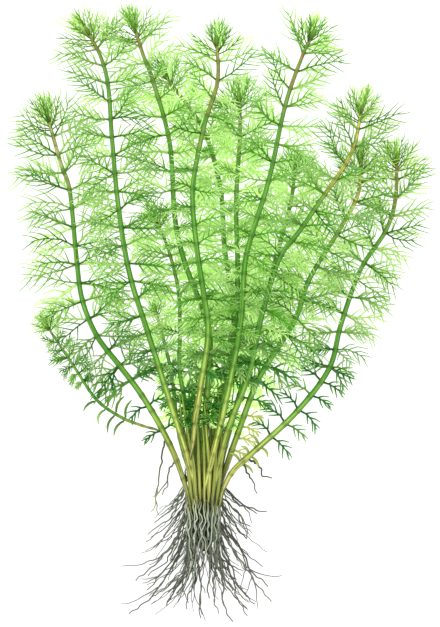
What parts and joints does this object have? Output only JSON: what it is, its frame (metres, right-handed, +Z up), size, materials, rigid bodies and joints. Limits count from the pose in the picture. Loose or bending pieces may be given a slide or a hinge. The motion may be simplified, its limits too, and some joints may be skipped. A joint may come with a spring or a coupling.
{
  "type": "bare-rooted water milfoil plant",
  "caption": "Bushy bunch of a fine-leaved water plant with leafy stems fanning out of one root crown, lying on its side with loose roots, for dressing an aquarium.",
  "frame": {"origin": "on the surface that the bunch lies on, under the middle of its whole box", "axes": "+Y from the roots towards the growing tips, +Z up from the surface, +X to the right seen from above with the tips at the top"},
  "size_m": [0.1936, 0.2792, 0.0553],
  "materials": {
    "leafy_stem": "soft green plant tissue, slightly waxy",
    "root": "dull grey-brown plant roots"
  },
  "bodies": {
    "root": {"leafy_stem_01": "leafy_stem", "leafy_stem_02": "leafy_stem", "leafy_stem_03": "leafy_stem", "leafy_stem_04": "leafy_stem", "leafy_stem_05": "leafy_stem", "leafy_stem_06": "leafy_stem", "leafy_stem_07": "leafy_stem", "leafy_stem_08": "leafy_stem", "leafy_stem_09": "leafy_stem", "leafy_stem_10": "leafy_stem", "leafy_stem_11": "leafy_stem", "leafy_stem_12": "leafy_stem", "leafy_stem_13": "leafy_stem", "leafy_stem_14": "leafy_stem", "root_crown": "root", "root_01": "root", "root_02": "root", "root_03": "root", "root_04": "root", "root_05": "root", "root_06": "root", "root_07": "root", "root_08": "root", "root_09": "root", "root_10": "root", "root_11": "root", "root_12": "root", "root_13": "root", "root_14": "root", "root_15": "root", "root_16": "root", "root_17": "root", "root_18": "root", "root_19": "root", "root_20": "root", "root_21": "root", "root_22": "root", "root_23": "root", "root_24": "root", "root_25": "root", "root_26": "root", "root_27": "root"}
  },
  "joints": []
}
